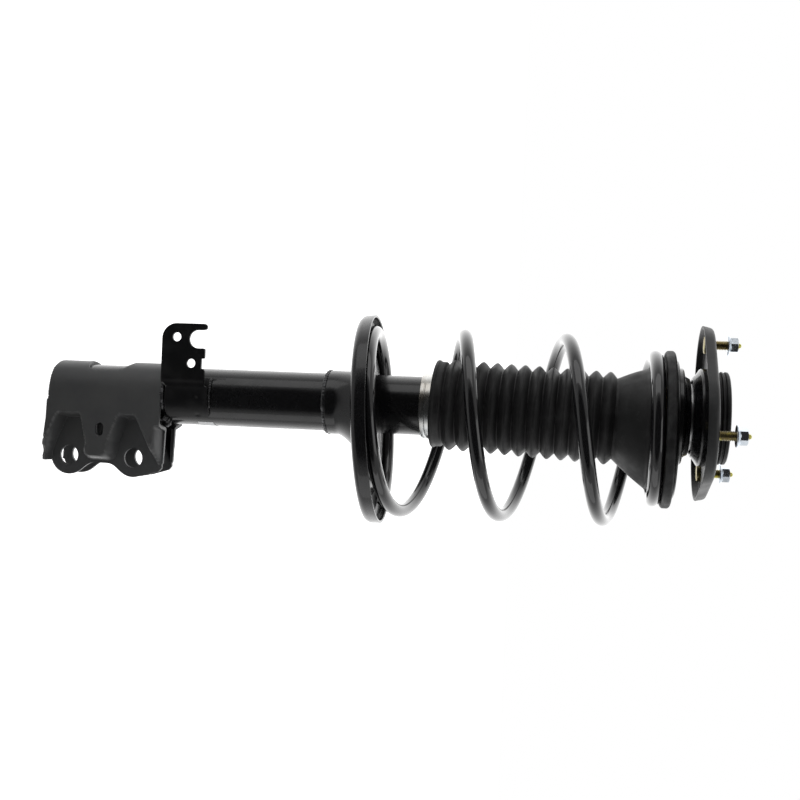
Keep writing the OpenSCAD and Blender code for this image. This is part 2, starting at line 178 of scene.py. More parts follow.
def circle_points(r, angle, z, spot=(0, 0)):
    """Points at radius r, an angle and height z round a vertical axis at a spot."""
    return np.stack([spot[0] + r * np.cos(angle), spot[1] + r * np.sin(angle), z + 0 * angle], -1)


def make_piece(name, points, faces, sharp_deg=None):
    """A smooth-shaded mesh object from points in millimetres and a list of faces."""
    mesh = bpy.data.meshes.new(name)
    mesh.from_pydata((np.asarray(points, float).reshape(-1, 3) * MM).tolist(), [], faces)
    mesh.validate()
    mesh.polygons.foreach_set("use_smooth", np.ones(len(mesh.polygons), bool))
    if sharp_deg is not None:
        mesh.set_sharp_from_angle(angle=math.radians(sharp_deg))
    mesh.update()
    piece = bpy.data.objects.new(name, mesh)
    bpy.context.scene.collection.objects.link(piece)
    return piece


def joined(parts):
    """One list of points and one of faces from several (points, faces) pairs."""
    points, faces, start = [], [], 0
    for p, f in parts:
        p = np.asarray(p, float).reshape(-1, 3)
        points.append(p)
        faces += [tuple(k + start for k in face) for face in f]
        start += len(p)
    return np.concatenate(points), faces


def finish_piece(piece, body, slot, finish, *nodes):
    """Gives a piece its finish, its CAD body and the nodes it stands for; the slot argument is not used. A
    piece that bends between two bodies has no body of its own."""
    piece.data.materials.append(MATERIALS[finish])
    if body:
        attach(piece, body)
    if nodes:
        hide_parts(*nodes)
    return piece


def rounded_outline(corners, radius, steps=5):
    """A closed outline with each corner turned into an arc of the given radius, or less on a short side: the
    quadratic curve from one tangent point to the other with the corner as its control."""
    corners = np.asarray(corners, float)
    before = np.roll(corners, 1, 0) - corners
    after = np.roll(corners, -1, 0) - corners
    len_a = np.linalg.norm(before, axis=1)
    len_b = np.linalg.norm(after, axis=1)
    cut = np.minimum(np.broadcast_to(radius, len_a.shape), 0.48 * np.minimum(len_a, len_b))
    start = corners + before / len_a[:, None] * cut[:, None]
    end = corners + after / len_b[:, None] * cut[:, None]
    t = np.linspace(0, 1, steps)[None, :, None]
    arcs = (1 - t) ** 2 * start[:, None] + 2 * t * (1 - t) * corners[:, None] + t ** 2 * end[:, None]
    return arcs.reshape(-1, 2)


def turned(outline, around=128, centre_x=0.0):
    """A closed [radius, height] outline carried round a vertical axis at centre_x. Outlines run clockwise,
    with the radius to the right, so that faces point out."""
    angle = np.linspace(0, TURN, around, endpoint=False)[None, :]
    points = circle_points(outline[:, :1], angle, outline[:, 1:], (centre_x, 0))
    quads = grid_quads(len(outline), around, True, True)
    area = np.sum(outline[:, 0] * np.roll(outline[:, 1], -1) - np.roll(outline[:, 0], -1) * outline[:, 1])
    return points, (quads if area < 0 else quads[:, ::-1]).tolist()


def swept_tube(path, radius, sides=24, lumps=None):
    """A round tube along a path: each ring is centred on its point and lies across the path's direction.

    lumps, where given, multiplies the radius over rings and sides. Each end closes in a dome of rings that
    shrink to a middle point."""
    along = np.gradient(path, axis=0)
    along /= np.linalg.norm(along, axis=1)[:, None]
    out = np.cross(along, [0.0, 0.0, 1.0])
    out /= np.linalg.norm(out, axis=1)[:, None]
    up = np.cross(out, along)
    angle = np.linspace(0, TURN, sides, endpoint=False)
    r = np.broadcast_to(radius, (len(path),))[:, None] * np.ones(sides)
    if lumps is not None:
        r = r * lumps
    ring = np.cos(angle)[None, :, None] * out[:, None] + np.sin(angle)[None, :, None] * up[:, None]
    points = (path[:, None] + r[:, :, None] * ring).reshape(-1, 3)
    quads = grid_quads(len(path), sides, ring_cols=True)[:, ::-1].tolist()
    first, last = len(points), len(points) + 1
    j = np.arange(sides)
    k = (j + 1) % sides
    tail = (len(path) - 1) * sides
    quads += np.stack([np.full(sides, first), k, j], -1).tolist()
    quads += np.stack([np.full(sides, last), tail + j, tail + k], -1).tolist()
    return np.concatenate([points, path[:1], path[-1:]]), quads


def polygon_distance(x, y, corners):
    """Signed distance of points to a polygon: negative inside. The sign comes from counting crossings."""
    corners = np.asarray(corners, float)
    best = np.full(x.shape, 1e9)
    inside = np.zeros(x.shape, bool)
    for (ax, ay), (bx, by) in zip(corners, np.roll(corners, -1, 0)):
        ex, ey = bx - ax, by - ay
        t = np.clip(((x - ax) * ex + (y - ay) * ey) / (ex * ex + ey * ey), 0, 1)
        best = np.minimum(best, np.hypot(x - ax - t * ex, y - ay - t * ey))
        if abs(ey) > 1e-9:
            crosses = ((ay > y) != (by > y)) & (x < ax + (y - ay) * ex / ey)
            inside ^= crosses
    return np.where(inside, -best, best)


def circle_distance(x, y, cx, cy, r):
    return np.hypot(x - cx, y - cy) - r


def soft_union(a, b, k):
    """Union of two distances, with a fillet about k wide where they meet."""
    h = np.clip(0.5 + 0.5 * (b - a) / k, 0, 1)
    return b + (a - b) * h - k * h * (1 - h)


def trimmed_sheet(u, v, place, distance):
    """A sheet cut to an outline: a grid of (u, v) keeps the quads inside distance 0, the points left on
    the edge slide onto it along the distance's slope, and place turns (u, v) into space."""
    u, v = np.meshgrid(u, v, indexing="ij")
    rows, cols = u.shape
    quads = grid_quads(rows, cols)
    d = distance(u, v).ravel()
    quads = quads[(d[quads] < 0.25).all(1)]
    count = np.zeros(rows * cols, int)
    np.add.at(count, quads.ravel(), 1)
    edge = (count > 0) & (count < 4)
    uu, vv = u.ravel().copy(), v.ravel().copy()
    step = 0.05
    for _ in range(3):
        eu, ev = uu[edge], vv[edge]
        d0 = distance(eu, ev)
        gu = (distance(eu + step, ev) - distance(eu - step, ev)) / (2 * step)
        gv = (distance(eu, ev + step) - distance(eu, ev - step)) / (2 * step)
        size = np.maximum(gu * gu + gv * gv, 0.2)
        uu[edge] = eu - np.clip(d0 * gu / size, -1.2, 1.2)
        vv[edge] = ev - np.clip(d0 * gv / size, -1.2, 1.2)
    used = count > 0
    number = np.cumsum(used) - 1
    return place(uu[used], vv[used]), number[quads].tolist()


def thicken(piece, thickness, bevel=0.5):
    """Gives a sheet its thickness, half to each side, and breaks its edges."""
    solid = piece.modifiers.new("Sheet", "SOLIDIFY")
    solid.thickness = thickness * MM
    solid.offset = 0.0
    solid.use_even_offset = True
    solid.thickness_clamp = 0.0
    if bevel:
        soft = piece.modifiers.new("Edges", "BEVEL")
        soft.width = bevel * MM
        soft.segments = 2
        soft.limit_method = "ANGLE"
        soft.angle_limit = math.radians(50)
    return piece


# ---- materials ----

FLAT = (1, 1, 1)


class Finish:
    """A Principled material whose pattern reads Object coordinates, in metres."""

    def __init__(self, name, colour, roughness, metallic=0.0, coat=0.0, coat_roughness=0.05, specular=0.5):
        self.material = bpy.data.materials.new(name)
        self.material.use_nodes = True
        self.tree = self.material.node_tree
        self.shader = self.tree.nodes["Principled BSDF"]
        self.colour = tuple(colour)
        self.roughness = roughness
        self.shader.inputs["Base Color"].default_value = (*self.colour, 1)
        self.shader.inputs["Roughness"].default_value = roughness
        self.shader.inputs["Metallic"].default_value = metallic
        self.shader.inputs["Coat Weight"].default_value = coat
        self.shader.inputs["Coat Roughness"].default_value = coat_roughness
        self.shader.inputs["Specular IOR Level"].default_value = specular
        self.coords = self.tree.nodes.new("ShaderNodeTexCoord")
        self.height = None

    def noise(self, scale, detail=4.0, stretch=FLAT, rough=0.55):
        """Fractal noise, stretched along the axes by a Mapping node."""
        place = self.tree.nodes.new("ShaderNodeMapping")
        place.inputs["Scale"].default_value = stretch
        noise = self.tree.nodes.new("ShaderNodeTexNoise")
        noise.inputs["Scale"].default_value = scale
        noise.inputs["Detail"].default_value = detail
        noise.inputs["Roughness"].default_value = rough
        self.tree.links.new(self.coords.outputs["Object"], place.inputs["Vector"])
        self.tree.links.new(place.outputs["Vector"], noise.inputs["Vector"])
        return noise.outputs["Fac"]

    def cells(self, scale):
        """Distance to the nearest of a scatter of points."""
        cells = self.tree.nodes.new("ShaderNodeTexVoronoi")
        cells.inputs["Scale"].default_value = scale
        self.tree.links.new(self.coords.outputs["Object"], cells.inputs["Vector"])
        return cells.outputs["Distance"]

    def pointiness(self, low, high):
        """Bright on worn outer edges."""
        geometry = self.tree.nodes.new("ShaderNodeNewGeometry")
        return self.ramp(geometry.outputs["Pointiness"], low, high)

    def height_above(self):
        """Height over the top mount's face, in metres."""
        split = self.tree.nodes.new("ShaderNodeSeparateXYZ")
        self.tree.links.new(self.coords.outputs["Object"], split.inputs["Vector"])
        return split.outputs["Z"]

    def ramp(self, source, low, high, bottom=0.0, top=1.0):
        """Maps low..high of a pattern to bottom..top."""
        node = self.tree.nodes.new("ShaderNodeMapRange")
        node.inputs["From Min"].default_value = low
        node.inputs["From Max"].default_value = high
        node.inputs["To Min"].default_value = bottom
        node.inputs["To Max"].default_value = top
        self.tree.links.new(source, node.inputs["Value"])
        return node.outputs["Result"]

    def tint(self, source, colour):
        """Mixes another colour in by a pattern, on top of what the base colour has so far."""
        mix = self.tree.nodes.new("ShaderNodeMix")
        mix.data_type = "RGBA"
        base = self.shader.inputs["Base Color"]
        if base.is_linked:
            self.tree.links.new(base.links[0].from_socket, mix.inputs["A"])
        else:
            mix.inputs["A"].default_value = (*self.colour, 1)
        mix.inputs["B"].default_value = (*colour, 1)
        self.tree.links.new(source, mix.inputs["Factor"])
        self.tree.links.new(mix.outputs["Result"], base)
        return self

    def vary_roughness(self, source, low, high, bottom, top):
        self.tree.links.new(self.ramp(source, low, high, bottom, top), self.shader.inputs["Roughness"])
        return self

    def bump(self, source, distance, strength=1.0):
        """Adds relief of the given height, in metres."""
        node = self.tree.nodes.new("ShaderNodeBump")
        node.inputs["Strength"].default_value = strength
        node.inputs["Distance"].default_value = distance
        self.tree.links.new(source, node.inputs["Height"])
        if self.height is not None:
            self.tree.links.new(self.height, node.inputs["Normal"])
        self.height = node.outputs["Normal"]
        self.tree.links.new(self.height, self.shader.inputs["Normal"])
        return self


# Every finish: colour, a list or one of the user's colours; shader sockets; shine as (noise, low, bottom,
# top); stains and painted highlights as (noise, low, high, share, colour); worn edges as (low, high, level);
# relief as (noise, height). A row with no noise follows the height over the mount and is a painted highlight
PALETTE = {
    "gloss_paint": ("paint", {"roughness": 0.22, "coat": 0.6, "coat_roughness": 0.08},
        ((60,), 0.35, 0.18, 0.34), [((900, 2), 0.66, 0.74, 0.5, (0.05, 0.05, 0.052))], None,
        [((340, 2), 0.00006)]),
    "spring_coat": ("paint", {"roughness": 0.12, "coat": 1.0, "coat_roughness": 0.03, "specular": 0.6},
        ((45,), 0.35, 0.09, 0.2), [((500, 3), 0.68, 0.76, 0.35, (0.04, 0.04, 0.042))], None,
        [((260, 2), 0.00005)]),
    "bracket_paint": ("bracket", {"roughness": 0.38, "coat": 0.15, "coat_roughness": 0.2},
        ((40,), 0.3, 0.32, 0.5), [((28, 5), 0.42, 0.7, 0.6, (0.1, 0.1, 0.098))], (0.58, 0.68, 0.13),
        [((700, 3), 0.00004)]),
    "clip_paint": ("paint", {"roughness": 0.34, "coat": 0.2, "coat_roughness": 0.2},
        ((60,), 0.35, 0.28, 0.46), [((60, 5), 0.5, 0.74, 0.5, (0.02, 0.02, 0.0205))], (0.56, 0.66, 0.12),
        [((600, 3), 0.00004)]),
    "mount_paint": ((0.024, 0.025, 0.0255), {"roughness": 0.42, "coat": 0.1, "coat_roughness": 0.25},
        ((50,), 0.3, 0.36, 0.52), [((220, 4), 0.55, 0.72, 0.5, (0.04, 0.04, 0.041))], None,
        [((900, 3), 0.00003)]),
    "boot_rubber": ("rubber", {"roughness": 0.55, "specular": 0.45}, ((55, 6), 0.35, 0.42, 0.66),
        [((38, 7, FLAT, 0.7), 0.48, 0.72, 0.55, (0.045, 0.045, 0.046)),
         ((420, 4, FLAT, 0.75), 0.62, 0.74, 0.5, (0.09, 0.09, 0.09))], None,
        [((160, 6), 0.00012), ((1400, 3), 0.00003)]),
    "mount_rubber": ("rubber", {"roughness": 0.5, "specular": 0.45}, ((70, 5), 0.35, 0.4, 0.6),
        [((120, 6), 0.5, 0.74, 0.5, (0.04, 0.04, 0.04))], None, [((500, 4), 0.00006)]),
    "insulator_rubber": ("rubber", {"roughness": 0.6, "specular": 0.4}, ((60, 5), 0.35, 0.45, 0.7),
        [((90, 7, FLAT, 0.7), 0.46, 0.7, 0.7, (0.055, 0.055, 0.056))], None, [((320, 5), 0.00012)]),
    "blue_zinc": ("zinc", {"roughness": 0.2, "metallic": 1.0}, ((300, 4), 0.3, 0.13, 0.3),
        [((130, 4), 0.45, 0.75, 0.5, (0.6, 0.68, 0.8)),
         ((60, 3), 0.58, 0.75, 0.35, (0.75, 0.66, 0.5))], None, [((900, 3), 0.00003)]),
    "cap_zinc": ((0.86, 0.88, 0.88), {"roughness": 0.22, "metallic": 1.0},
        ((90, 4, (1, 1, 8)), 0.3, 0.14, 0.32), [((35, 4), 0.45, 0.7, 0.6, (0.52, 0.42, 0.3))], None,
        [((120, 3, (1, 1, 12)), 0.00004)]),
    "yellow_zinc": ("yellow_zinc", {"roughness": 0.3, "metallic": 1.0}, ((300, 4), 0.3, 0.22, 0.42),
        [((400, 4), 0.45, 0.7, 0.8, (0.3, 0.27, 0.18)),
         ((160, 3), 0.56, 0.7, 0.7, (0.72, 0.68, 0.13)),
         # Painted highlight: the studs' pilot points, from 22.2 mm over the mount's face up, are tinted a
         # brighter yellow
         (None, 0.0222, 0.0236, 0.85, (0.75, 0.72, 0.15))], None, [((1500, 3), 0.00003)]),
    "weld_metal": ((0.03, 0.03, 0.032), {"roughness": 0.25, "metallic": 0.2, "coat": 0.5},
        ((200, 4), 0.3, 0.14, 0.4), [((170, 5), 0.5, 0.62, 0.8, (0.2, 0.2, 0.21))], None,
        [((420, 5), 0.0004)]),
    "plain_steel": ((0.5, 0.5, 0.5), {"roughness": 0.3, "metallic": 1.0},
        ((200, 4, (1, 1, 6)), 0.3, 0.2, 0.42), [], None, [((500, 3, (1, 1, 10)), 0.00003)]),
    "chromed_rod": ((0.7, 0.7, 0.72), {"roughness": 0.08, "metallic": 1.0},
        ((120, 4), 0.3, 0.05, 0.14), [], None, []),
    "bump_foam": ((0.62, 0.52, 0.26), {"roughness": 0.8, "specular": 0.3}, None,
        [((120, 5), 0.4, 0.7, 0.6, (0.45, 0.36, 0.16))], None, [("cells", 0.0002)]),
    "band_plastic": ((0.05, 0.16, 0.09), {"roughness": 0.5}, ((300, 4), 0.3, 0.42, 0.6), [], None,
        [((900, 3), 0.00005)]),
    "label_paper": ((0.94, 0.95, 0.96), {"roughness": 0.4}, ((200, 4), 0.3, 0.42, 0.58),
        [((80, 4), 0.5, 0.75, 0.4, (0.82, 0.84, 0.86))], None, [((900, 3), 0.00003)]),
}
MATERIALS = {}


def mixed_finish(name):
    """Builds a palette row's material: shine, stains, painted highlights and worn edges over the base colour,
    then relief.
    """
    colour, shader, shine, stains_and_highlights, worn, relief = PALETTE[name]
    if isinstance(colour, str):
        colour = getattr(finishes(), colour)
    f = Finish(name, colour, **shader)
    if shine:
        pattern, low, bottom, top = shine
        f.vary_roughness(f.noise(*pattern), low, 0.7, bottom, top)
    for pattern, low, high, share, stain_and_highlight in stains_and_highlights:
        # A row with no noise follows the height over the mount: the painted highlight on the studs' tips
        source = f.noise(*pattern) if pattern else f.height_above()
        f.tint(f.ramp(source, low, high, 0, share), stain_and_highlight)
    if worn:
        low, high, level = worn
        f.tint(f.pointiness(low, high), (level, level, level))
    for pattern, height in relief:
        f.bump(f.cells(1400) if pattern == "cells" else f.noise(*pattern), height)
    return f.material


# Finish of every CAD node that stays as it is
KEPT_NODES = {
    "strut_tube": "gloss_paint", "base_cap": "gloss_paint", "mount_rubber": "mount_rubber",
    "center_sleeve": "plain_steel", "bearing_upper_race": "plain_steel", "piston_rod": "chromed_rod",
    "rod_nut": "blue_zinc", "rod_washer": "blue_zinc", "bearing_lower_race": "plain_steel",
    "bearing_balls": "plain_steel", "bump_stop": "bump_foam", "rebound_stop": "plain_steel",
    "piston": "plain_steel", "piston_band": "band_plastic", "piston_nut": "plain_steel",
    "rod_guide": "plain_steel", "rod_seal": "mount_rubber", "pressure_cylinder": "plain_steel",
    "base_valve": "plain_steel", "lower_insulator": "insulator_rubber",
}


# ---- spring ----

SPRING_FIRST, SPRING_LAST = 20.0, 1560.0
SPRING_R, SPRING_TOP_R = 77.2, 59.6
SPRING_FOOT_X, SPRING_TOP_X = 14.4, 11.2
SPRING_PITCH = 87
SEATED_Z, CLIMB_Z, FLAT_TOP_Z = -282.6, -341.3, -44.6
# The wire follows the rod above the first height, and the dish below the second
# Changes along the wire, in degrees: where each starts and how far it runs
SLACK_SPAN, NARROW_SPAN, SHIFT_SPAN = (180, 900), (1075, 215), (1000, 260)
# Squared widths, in millimetres, over which one height gives way to the next
SEAT_BLEND, TOP_BLEND = 10.0, 30.0
DISH_LEAN_X, DISH_LEAN_Y = math.radians(3.6), math.radians(3.6)


def spring_path(angle):
    """Centre line of the wire for angles in degrees: a circle whose radius narrows at the top turn, with a
    height that is the softened middle one of the leaning dish, the free climb and the flat top seat."""
    a = np.radians(angle)
    seat = SEATED_Z + SPRING_R * (math.tan(DISH_LEAN_X) * np.cos(a) - math.tan(DISH_LEAN_Y) * np.sin(a))
    climb = CLIMB_Z + SPRING_PITCH * angle / 360 - 2.6 * np.cos(a)
    z = (seat + climb) / 2 + np.sqrt(((seat - climb) / 2) ** 2 + SEAT_BLEND)
    z = (z + FLAT_TOP_Z) / 2 - np.sqrt(((z - FLAT_TOP_Z) / 2) ** 2 + TOP_BLEND)
    slack = 1.6
    loosened, narrowed, shifted = (ease((angle - start) / run) for start, run in
                                   (SLACK_SPAN, NARROW_SPAN, SHIFT_SPAN))
    r = SPRING_R - slack * loosened
    r = r - (SPRING_R - slack - SPRING_TOP_R) * narrowed
    x = SPRING_FOOT_X + (SPRING_TOP_X - SPRING_FOOT_X) * shifted
    return np.stack([x + r * np.cos(a), r * np.sin(a), z], -1)


class STRUT_OT_spring(bpy.types.Operator):
    """Sweep the spring wire along its coil"""
    bl_idname = "strut.spring"
    bl_label = "Coil spring"

    def execute(self, context):
        angle = np.linspace(SPRING_FIRST, SPRING_LAST, 620)
        shoulder = np.array([0.0, 0.1, 0.35, 0.8]) / SPRING_R * 180 / math.pi * 2
        angle = np.concatenate([SPRING_FIRST + shoulder[1:], angle[2:-2], SPRING_LAST - shoulder[:0:-1]])
        size = np.ones(len(angle))
        size[:3] = [0.88, 0.95, 0.99]
        size[-3:] = [0.99, 0.95, 0.88]
        points, faces = swept_tube(spring_path(angle), sizes().wire_d / 2 * size, 28)
        piece = make_piece("spring_wire", points, faces)
        finish_piece(piece, None, "spring_paint", "spring_coat", "coil_spring")
        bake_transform(piece)
        return {"FINISHED"}


# ---- boot ----

BOOT_LEAN = math.radians(2.5)
BOOT_PIVOT_Z = -171.0
BOOT_PITCH = 11.95
BOOT_VALLEY_R = 34.0
BOOT_CONE_Z, BOOT_CONE_R = -52.5, 50.2
BOOT_FOLD_LOW = -216 - BOOT_PITCH / 2


def boot_profile():
    """Height and radius up the outside of the bellows: a clamping collar with a lip, then folds whose
    radius is a triangle wave with rounded crests, sqrt(t^2 + c^2) in place of |t|."""
    collar_z = np.array([-232, -231.6, -230.9, -229.6, -228.9, -228.3, -226, -224, -223, -222.4])
    collar_r = np.array([36.4, 37.4, 37.9, 37.9, 37.4, 36.9, 36.7, 36.7, 36.2, 35.2])
    folds = sizes().boot_folds
    f = np.linspace(0, folds, folds * 18 + 1)[1:]
    t = np.abs(2 * (f % 1) - 1)
    crest = 0.34
    wave = 1 - (np.sqrt(t ** 2 + crest ** 2) - crest) / (math.sqrt(1 + crest ** 2) - crest)
    wave = np.sqrt(wave ** 2 + 0.001) - 0.03
    fold_z = BOOT_FOLD_LOW + f * BOOT_PITCH
    fold_r = BOOT_VALLEY_R + sizes().fold_depth * wave
    return np.concatenate([collar_z, fold_z]), np.concatenate([collar_r, fold_r])


class STRUT_OT_boot(bpy.types.Operator):
    """Carry the bellows' profile round its leaning axis and blend it into the offset cone"""
    bl_idname = "strut.boot"
    bl_label = "Dust boot"

    def execute(self, context):
        z, r = boot_profile()
        centre = math.tan(BOOT_LEAN) * (z - BOOT_PIVOT_Z)
        lean = np.full(len(z), BOOT_LEAN)
        cone = np.linspace(0, 1, 14)[1:]
        swell = cone + 0.04 * np.sin(math.pi * cone)
        cone_z = z[-1] + (BOOT_CONE_Z - z[-1]) * cone
        cone_r = BOOT_VALLEY_R + (BOOT_CONE_R - BOOT_VALLEY_R) * swell
        cone_c = centre[-1] + (SPRING_TOP_X - centre[-1]) * cone
        cone_lean = BOOT_LEAN * (1 - cone)
        edge_z = np.array([-52.1, -51.2, -48, -44.2, -44.0])
        edge_r = np.array([50.9, 51.2, 51.0, 50.8, 50.2])
        z = np.concatenate([z, cone_z, edge_z])
        r = np.concatenate([r, cone_r, edge_r])
        centre = np.concatenate([centre, cone_c, np.full(5, SPRING_TOP_X)])
        lean = np.concatenate([lean, cone_lean, np.zeros(5)])
        wall = 2.0
        z, centre, lean = (np.concatenate([a, a[::-1]]) for a in (z, centre, lean))
        r = np.concatenate([r, r[::-1] - wall])
        angle = np.linspace(0, TURN, 160, endpoint=False)[None, :]
        z, r, centre, lean = (a[:, None] for a in (z, r, centre, lean))
        x = centre + r * np.cos(angle) * np.cos(lean)
        height = z - r * np.cos(angle) * np.sin(lean)
        points = np.stack([x, r * np.sin(angle), height], -1)
        faces = grid_quads(len(z), angle.size, True, True).tolist()
        piece = make_piece("bellows", points, faces)
        finish_piece(piece, "rod", "boot_rubber", "boot_rubber", "dust_boot")
        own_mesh(piece)
        return {"FINISHED"}


# ---- top mount ----

STUD_ANGLE = 41.6
PLATE_CORNER_R, PLATE_CORNER_C = 47.0, 29.0
PLATE_T, PLATE_RIM = 2.8, 9.0


def stud_spots():
    a = np.radians(STUD_ANGLE + 120 * np.arange(3))
    return STUD_PCD / 2 * np.stack([np.cos(a), np.sin(a)], -1)


def triangle_outline(arc_steps=30, side_steps=8):
    """Points and outward normals round a triangle with three round corners: each arc turns its normal by
    120 degrees about its corner's centre, and straight sides join the arcs."""
    points, normals = [], []
    for i in range(3):
        middle = math.radians(STUD_ANGLE + 120 * i)
        turn = middle + np.radians(np.linspace(-60, 60, arc_steps))
        n = np.stack([np.cos(turn), np.sin(turn)], -1)
        arc = PLATE_CORNER_C * np.array([math.cos(middle), math.sin(middle)]) + PLATE_CORNER_R * n
        points.append(arc)
        normals.append(n)
        after = middle + math.radians(120)
        start = PLATE_CORNER_C * np.array([math.cos(after), math.sin(after)]) + PLATE_CORNER_R * n[-1]
        t = np.linspace(0, 1, side_steps + 2)[1:-1, None]
        points.append(arc[-1] * (1 - t) + start * t)
        normals.append(np.repeat(n[-1:], side_steps, 0))
    return np.concatenate(points), np.concatenate(normals)


class STRUT_OT_mount_plate(bpy.types.Operator):
    """Carry the stamped plate's rim profile round its rounded triangle and fill in to the middle hole"""
    bl_idname = "strut.mount_plate"
    bl_label = "Mount plate"

    def execute(self, context):
        base, normal = triangle_outline()
        hole_r = 30.2
        ring = hole_r * base / np.linalg.norm(base, axis=1)[:, None]
        rim = rounded_outline(
            [[-9.0, 0], [0.4, 0], [2.5, -PLATE_RIM], [0, -PLATE_RIM], [-2.3, -PLATE_T], [-9.0, -PLATE_T]],
            [0.1, 3.4, 0.7, 0.7, 2.0, 0.1], 7)
        share = np.linspace(0, 1, 10)[1:-1]
        rows = [np.column_stack([base + normal * o, np.full(len(base), z)]) for o, z in rim]
        under = [np.column_stack([(base - 9 * normal) * (1 - s) + ring * s, np.full(len(base), -PLATE_T)])
                 for s in share]
        top = [np.column_stack([ring * (1 - s) + (base - 9 * normal) * s, np.zeros(len(base))])
               for s in share]
        hole = [np.column_stack([ring, np.full(len(base), z)]) for z in (-PLATE_T, -PLATE_T / 2, 0)]
        points = np.stack(rows + under + hole + top)
        faces = grid_quads(points.shape[0], points.shape[1], True, True).tolist()
        piece = make_piece("mount_plate_shell", points, faces)
        finish_piece(piece, "top_mount", "mount_paint", "mount_paint", "mount_plate")
        return {"FINISHED"}


def stud_shape(spot, turn):
    """Surface of one stud: a plain head and neck, then a thread whose radius is a rounded saw in
    height / pitch - angle / turn, and a pilot point."""
    around = 36
    angle = np.linspace(0, TURN, around, endpoint=False)[None, :]
    pitch = sizes().thread_pitch
    depth = 0.66
    head = np.array([[0.01, -6.0], [6.9, -6.0], [7.4, -5.6], [7.5, -5.2], [7.5, -2.9], [7.3, -2.82],
                     [4.28, -2.8], [4.28, 0.2], [4.15, 0.4], [3.6, 0.5]])
    thread_z = np.arange(0.6, 22.4, pitch / 10)
    fade = ease((thread_z - 0.5) / 1.0) * ease((22.4 - thread_z) / 1.2)
    wave = np.abs(2 * ((thread_z[:, None] / pitch - angle / TURN + turn) % 1) - 1)
    thread_r = STUD_R - depth + depth * np.clip(1.25 * wave - 0.12, 0, 1) * fade[:, None]
    point = np.array([[3.2, 22.5], [2.3, 22.6], [2.15, 22.9], [1.75, 24.0], [1.6, 24.3], [0.7, 24.85],
                      [0.01, 24.9]])
    r = np.concatenate([head[:, :1] + 0 * angle, thread_r, point[:, :1] + 0 * angle])
    z = np.concatenate([head[:, 1], thread_z, point[:, 1]])[:, None]
    return circle_points(r, angle, z, spot), grid_quads(r.shape[0], around, ring_cols=True).tolist() + [
        list(range(around - 1, -1, -1)),
        list(range((r.shape[0] - 1) * around, r.shape[0] * around))]


class STRUT_OT_studs(bpy.types.Operator):
    """Cut the thread and the pilot point of the three mount studs"""
    bl_idname = "strut.studs"
    bl_label = "Mount studs"

    def execute(self, context):
        shapes = [stud_shape(spot, 0.3 * i) for i, spot in enumerate(stud_spots())]
        piece = make_piece("threaded_studs", *joined(shapes), sharp_deg=50)
        finish_piece(piece, "top_mount", "yellow_zinc", "yellow_zinc", "mount_studs")
        return {"FINISHED"}


def nut_shape(spot, turn):
    """Surface of one flange nut: the radius is the lesser of the hexagon, flats / 2 / cos(angle from the
    nearest flat), and the chamfer cone."""
    base_z = node_span("stud_nuts", 2)[0]
    height = node_span("stud_nuts", 2)[1] - base_z
    around = 96
    angle = np.linspace(0, TURN, around, endpoint=False)
    from_flat = (angle + math.pi / 6) % (math.pi / 3) - math.pi / 6
    hexagon = sizes().nut_flats / 2 / np.cos(from_flat)
    ones = np.ones(around)
    bore = STUD_R - 0.1
    rows = [(bore * ones, 0.5), ((bore + 0.5) * ones, 0.0), (8.2 * ones, 0.0), (8.6 * ones, 0.12),
            (8.8 * ones, 0.4), (8.8 * ones, 1.0), (8.6 * ones, 1.25), (7.6 * ones, 1.9)]
    rows += [(np.maximum(7.15 - 1.2 * (z - 2.2), hexagon), z) for z in (2.2, 2.5, 2.9)]
    rows += [(np.minimum(hexagon, 6.15 + 1.6 * (height - z)), z)
             for z in (3.4, 5.0, 7.4, 7.9, 8.15, 8.4, 8.6, height)]
    rows += [(5.4 * ones, height), (4.6 * ones, height), (bore * ones, height - 0.7)]
    r = np.stack([row[0] for row in rows])
    z = base_z + np.array([row[1] for row in rows])[:, None]
    return circle_points(r, angle + turn, z, spot), grid_quads(len(rows), around, True, True).tolist()


class STRUT_OT_stud_nuts(bpy.types.Operator):
    """Shape the three hexagon flange nuts with their chamfers"""
    bl_idname = "strut.stud_nuts"
    bl_label = "Stud nuts"

    def execute(self, context):
        shapes = [nut_shape(spot, math.radians(14 + 35 * i)) for i, spot in enumerate(stud_spots())]
        piece = make_piece("flange_nuts", *joined(shapes), sharp_deg=28)
        finish_piece(piece, "top_mount", "blue_zinc", "blue_zinc", "stud_nuts")
        return {"FINISHED"}


